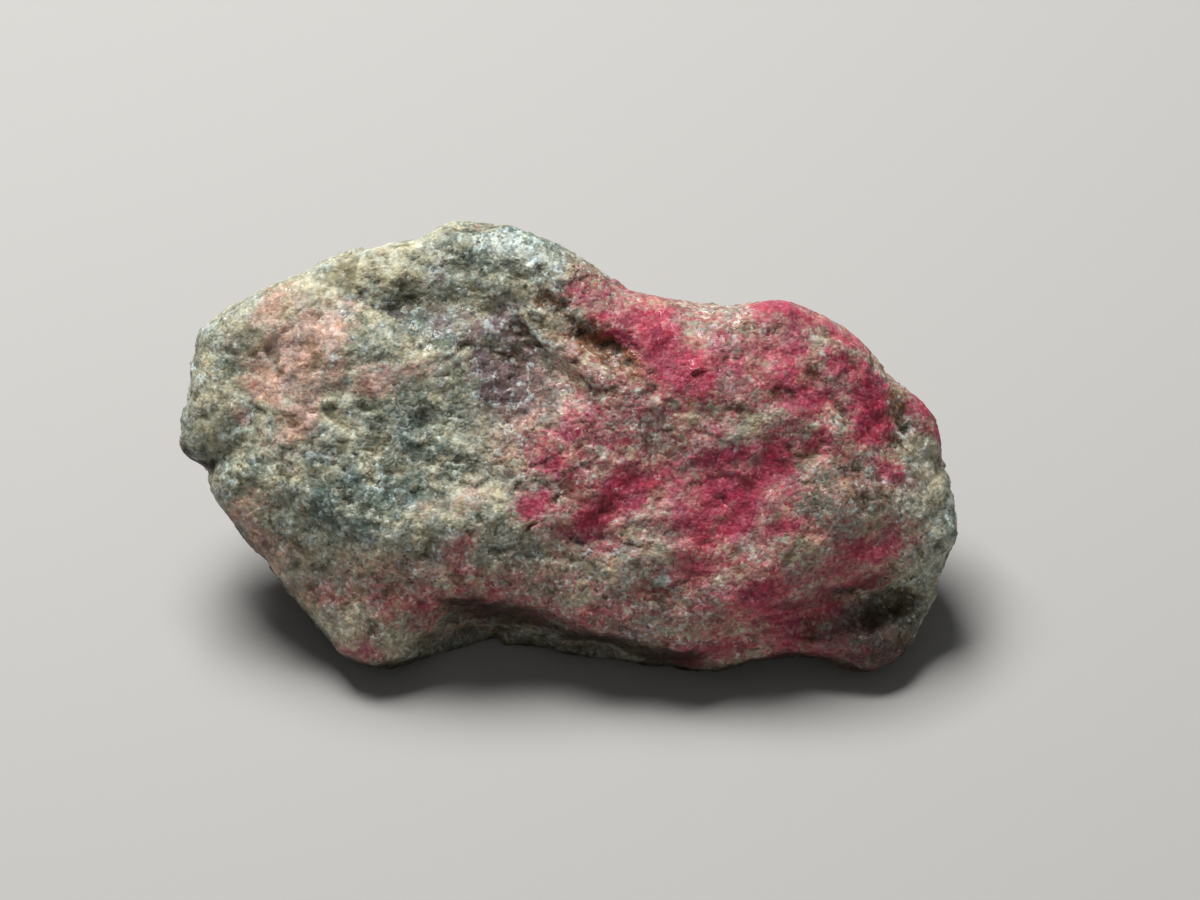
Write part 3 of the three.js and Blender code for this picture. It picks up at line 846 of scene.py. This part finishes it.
def grains_where(amount, number, scatter=0.25, clots=2.2, clot_size=1.0, most=1.0):
    """The grains that are of a mineral: its amount is their share, and noise gathers them into clots."""
    chance = grain_chances[number % len(grain_chances)]
    moved = calculate("ADD", amount, centred(chance, scatter))
    moved = calculate("ADD", moved, centred(noise_of(number, clot_size), clots))
    return spread(moved, *GRAIN_EDGE, 0, most)


# %% [markdown]
# ## Colours
# Each colour is named as it looks on the stone in plain light. The tugtupite has five steps from rosy
# matrix to crimson, since a thin crystal over pale matrix looks pink and a thick one looks deep red.

# %% Colours of the minerals
MATRIX_PALE = shade(206, 205, 182)
MATRIX_GREY = shade(144, 152, 135)
MATRIX_PINK = shade(188, 162, 148)
COLOURS = {
    "olive": shade(116, 106, 82),
    "grey_green": shade(110, 128, 119),
    "mauve": shade(122, 94, 106),
    "salmon": shade(218, 178, 164),
    "cream": shade(218, 214, 186),
    "rust": shade(132, 84, 42),
    "white": shade(212, 226, 225),
    "dark": shade(58, 56, 45),
}
RED_STEPS = [
    (0.0, shade(188, 166, 148)),
    (0.2, shade(191, 144, 136)),
    (0.42, shade(188, 108, 115)),
    (0.62, shade(188, 77, 102)),
    (0.86, shade(178, 51, 81)),
]
# The next two tints are painted shade: a brown darkening of the hollows, and a darker one of the underside
# and the places listed for painted shade.
HOLLOW_SHADE_TINT = shade(170, 162, 142)
UNDER_SHADE_TINT = shade(82, 74, 62)
DRIFT_TINTS = (shade(255, 247, 233), shade(246, 250, 253))  # the colour drifts from warm to cool

print(len(COLOURS), "minerals and stains,", len(RED_STEPS), "steps of red")

# %% [markdown]
# ## The matrix and its minerals
# The base is a mixture of pale and grey grains with a few pink ones. Around the tugtupite it is washed with
# rose. Then each mineral is laid over it in turn. Some gather in tight clots and others are soft stains, so
# each has its own clotting instead of one shared edge.

# %% Matrix and its minerals
GREY_SHARE, GREY_CLOT = 0.48, 1.4  # share of the grains, and the size of their clots in mm
PINK_SHARE = 0.16
ROSE_STARTS = (0.02, 0.25)  # amounts of tugtupite where the rose wash begins, and is full
ROSE_WASH = 0.6
MOST_COVER = 0.9  # a little of the matrix shows through every mineral
# How strongly noise gathers the grains of each mineral into clots.
CLOTTING = {"olive": 2.2, "grey_green": 2.2, "mauve": 1.8, "salmon": 0.9, "cream": 1.5}

colour = mix(grains_where(GREY_SHARE, 0, clot_size=GREY_CLOT), MATRIX_PALE, MATRIX_GREY)
colour = mix(grains_where(PINK_SHARE, 1), colour, MATRIX_PINK)
presence = spread(stored("tugtupite"), *ROSE_STARTS)
colour = mix(calculate("MULTIPLY", presence, ROSE_WASH), colour, RED_STEPS[0][1])
for number, (name, clots) in enumerate(CLOTTING.items()):
    patches = grains_where(stored(name), number + 2, clots=clots, most=MOST_COVER)
    colour = mix(patches, colour, COLOURS[name])
print("laid over the matrix:", ", ".join(CLOTTING))

# %% [markdown]
# ## The red of the tugtupite
# The crystals are streaky, and rose, pink and crimson grains lie side by side. One flat red would look like
# paint. So streaks along the crystals, clots and single grains move the amount of tugtupite up and down,
# and a colour ramp turns the result into a red.

# %% Tugtupite
STREAK_REACH = 0.75  # how far each of these moves the amount, from lowest to highest
CLOT_REACH, CLOT_SIZE = 1.0, 0.6
GRAIN_REACH = 0.28
RED_STARTS = (0.0, 0.2)  # amounts where the red begins to cover the matrix, and covers it

along_streaks = add_node(
    tree,
    "ShaderNodeMapping",
    {
        "Vector": in_mm,
        "Rotation": (-FACE_LEAN, 0, -STREAK_TURN),
        "Scale": (1 / STREAK_LENGTH, 1 / STREAK_WIDTH, 1 / STREAK_WIDTH),
    },
    vector_type="POINT",
).outputs["Vector"]
streaky = noise_texture(size=1.0, detail=4.0, roughness=0.65, vector=along_streaks)
scatter = centred(streaky, STREAK_REACH)
scatter = calculate("ADD", scatter, centred(noise_of(9, CLOT_SIZE), CLOT_REACH))
for chance in (grain_chances[5], grain_chances[8]):
    scatter = calculate("ADD", scatter, centred(chance, GRAIN_REACH))
redness = calculate("ADD", stored("tugtupite"), calculate("MULTIPLY", scatter, presence))
reds = add_node(tree, "ShaderNodeValToRGB", {"Fac": redness})
for _ in RED_STEPS[2:]:
    reds.color_ramp.elements.new(0.5)
for element, (step, red_colour) in zip(reds.color_ramp.elements, RED_STEPS):
    element.position = step
    element.color = red_colour
colour = mix(spread(redness, *RED_STARTS), colour, reds.outputs["Color"])
print("red ramp has", len(reds.color_ramp.elements), "steps")

# %% [markdown]
# ## Stains and specks
# Rust, white and dark grains lie in their patches, and a few are sprinkled all over the matrix. There are
# fewer of them in the tugtupite and in the clean cream and salmon. Placing each speck by hand would take
# thousands of lines, so random grains are picked instead.

# %% Stains and specks
SPECKS = {"rust": 0.02, "white": 0.22, "dark": 0.19}  # a few grains of these lie all over the matrix
SPECK_SCATTER, SPECK_CLOT = 0.6, 0.35  # how far chance moves a speck, and the clots' size in mm
STAIN_CLOT = 0.5  # mm

in_matrix = spread(stored("tugtupite"), 0.1, 0.45, start=0.7, end=0.1)
clean = calculate("MAXIMUM", stored("cream"), stored("salmon"))
in_matrix = calculate("MULTIPLY", in_matrix, spread(clean, 0.1, 0.7, start=1.0, end=0.35))
for number, (name, everywhere) in enumerate(SPECKS.items()):
    patches = grains_where(stored(name), number + 6, clot_size=STAIN_CLOT, most=MOST_COVER)
    sprinkled = grains_where(everywhere, number + 6, scatter=SPECK_SCATTER, clot_size=SPECK_CLOT)
    specks = calculate("MULTIPLY", sprinkled, in_matrix)
    colour = mix(calculate("MAXIMUM", patches, specks), colour, COLOURS[name])
print("sprinkled:", ", ".join(SPECKS))

# %% [markdown]
# ## Light and dark grains
# No two grains are equally light. The colour drifts between warm and cool within a millimetre, the hollows
# are browned and the underside and a few listed places darkened, all as painted shade. Then mottles and
# single grains are made lighter or darker. Each of these multiplies the colour, which keeps its hue as a
# second coat of paint would not.

# %% Light and dark grains, hollows and the underside
NOISE_RANGE = (0.3, 0.7)  # soft noise hardly leaves this range
DRIFT_SIZE, DRIFT_EDGE = 0.8, (0.38, 0.62)  # mm, and the noise where it is all warm, and all cool
HOLLOW_SHARE = 0.8  # how far the deepest hollows take on their tint
MOTTLES = [(0.5, 0.26), (1.2, 0.14)]  # size in mm, and how far the lightness strays either way
GRAIN_LIGHTNESS = {4: 0.13, 7: 0.22}  # the random number used, and how far the lightness strays


def grey(value):
    """A grey colour from one value."""
    return add_node(
        tree, "ShaderNodeCombineColor", {"Red": value, "Green": value, "Blue": value}
    ).outputs[0]


def tinted(amount, tint):
    """Darkens the colour towards a tint by an amount."""
    return mix(amount, colour, mix(1.0, colour, tint, "MULTIPLY"))


drift = mix(spread(noise_of(20, DRIFT_SIZE), *DRIFT_EDGE), *DRIFT_TINTS)
colour = mix(1.0, colour, drift, "MULTIPLY")
# Painted shade: the hollows are browned, and the underside and the listed places are darkened.
colour = tinted(spread(stored("hollow"), 0.2, 1, end=HOLLOW_SHARE), HOLLOW_SHADE_TINT)
colour = tinted(stored("under"), UNDER_SHADE_TINT)
for number, (size, reach) in enumerate(MOTTLES):
    mottle = spread(noise_of(21 + number, size), *NOISE_RANGE, 1 - reach, 1 + reach)
    colour = mix(1.0, colour, grey(mottle), "MULTIPLY")
for number, reach in GRAIN_LIGHTNESS.items():
    lightness = spread(grain_chances[number], 0, 1, 1 - reach, 1 + reach, curve="LINEAR")
    colour = mix(1.0, colour, grey(lightness), "MULTIPLY")
tree.links.new(colour, shader.inputs["Base Color"])
print("lightness strays in", len(MOTTLES) + len(GRAIN_LIGHTNESS), "ways")

# %% [markdown]
# ## Gloss, the smallest grains and the light inside
# One grain in ten is a flat face that glints, and the rest is dull. Grains too small for the mesh are left
# to bump. Light goes a little way into the crystals and comes out again warmer, which Subsurface gives. Its
# reach is a fraction of a millimetre, because a longer one would turn the rock into wax.

# %% Gloss and the smallest grains
GLINT_STARTS = (0.9, 0.92)  # random numbers where a grain begins to glint, and does
GLINT_ROUGHNESS = 0.25
DULL_SIZE, DULL_ROUGHNESS = 0.4, (0.55, 0.8)
BUMP_SIZE, BUMP_DEPTH = 0.12, 0.06  # mm
BUMP_STRENGTH = 0.4

glint = spread(grain_chances[2], *GLINT_STARTS)
dull = spread(noise_texture(DULL_SIZE), *NOISE_RANGE, *DULL_ROUGHNESS)
tree.links.new(mix_value(glint, dull, GLINT_ROUGHNESS), shader.inputs["Roughness"])
domes = calculate("ADD", grain_cells[1].outputs["Distance"], grain_cells[2].outputs["Distance"])
height = calculate("SUBTRACT", noise_texture(BUMP_SIZE, detail=2.0), domes)
bump = add_node(
    tree, "ShaderNodeBump", {"Height": height, "Strength": BUMP_STRENGTH, "Distance": BUMP_DEPTH * MM}
).outputs["Normal"]
tree.links.new(bump, shader.inputs["Normal"])

# %% Shine and the light inside
SHINE = 0.45
GLOW_SHARE = 0.4
GLOW_REACH, GLOW_TINT = 0.18, (1.0, 0.7, 0.6)  # mm, and the share of it that red, green and blue go

shader.inputs["Specular IOR Level"].default_value = SHINE
shader.inputs["Subsurface Weight"].default_value = GLOW_SHARE
shader.inputs["Subsurface Radius"].default_value = GLOW_TINT
shader.inputs["Subsurface Scale"].default_value = GLOW_REACH * MM
stone_mesh.materials.append(rock)
print("finish has", len(tree.nodes), "nodes")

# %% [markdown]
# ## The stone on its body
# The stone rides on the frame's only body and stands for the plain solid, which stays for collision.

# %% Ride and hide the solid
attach(stone, "root")
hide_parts("rough_stone")
